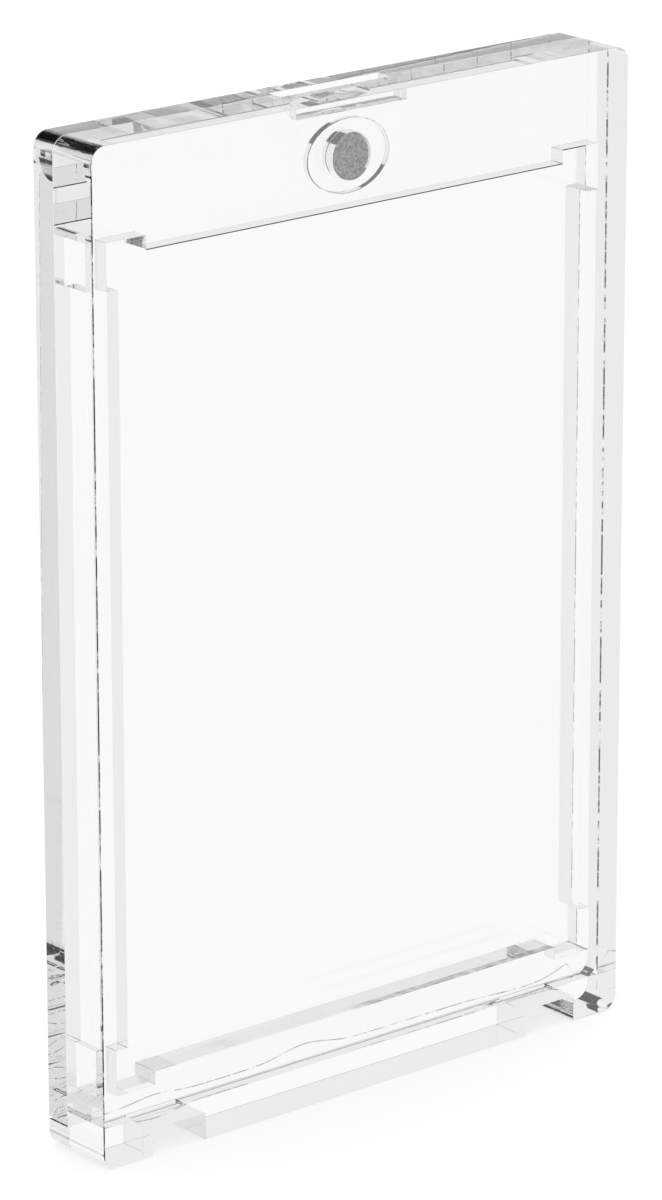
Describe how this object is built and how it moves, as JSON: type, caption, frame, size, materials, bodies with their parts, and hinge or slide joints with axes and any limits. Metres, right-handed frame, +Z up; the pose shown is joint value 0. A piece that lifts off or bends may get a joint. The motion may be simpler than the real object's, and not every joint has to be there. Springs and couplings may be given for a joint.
{
  "type": "trading card display case",
  "caption": "Clear magnetic display case for a thick trading card: two moulded halves, with a disc magnet in each half by the thumb notch.",
  "frame": {"origin": "middle of the closed case's footprint, on the surface that it stands on", "axes": "+X to the right, +Y to the back, +Z up, seen from the front"},
  "size_m": [0.0728, 0.0094, 0.1105],
  "materials": {
    "clear_plastic": "polished clear acrylic",
    "magnet": "satin nickel plating"
  },
  "bodies": {
    "front": {"front_cover": "clear_plastic", "front_magnet": "magnet"},
    "rear": {"rear_cover": "clear_plastic", "rear_magnet": "magnet"}
  },
  "joints": [
    {"name": "rear_tilt", "type": "hinge", "parent": "front", "child": "rear", "pos_m": [0, 0.00455, 0.0033], "axis": [-1, 0, 0], "range_deg": [0, 90]}
  ]
}
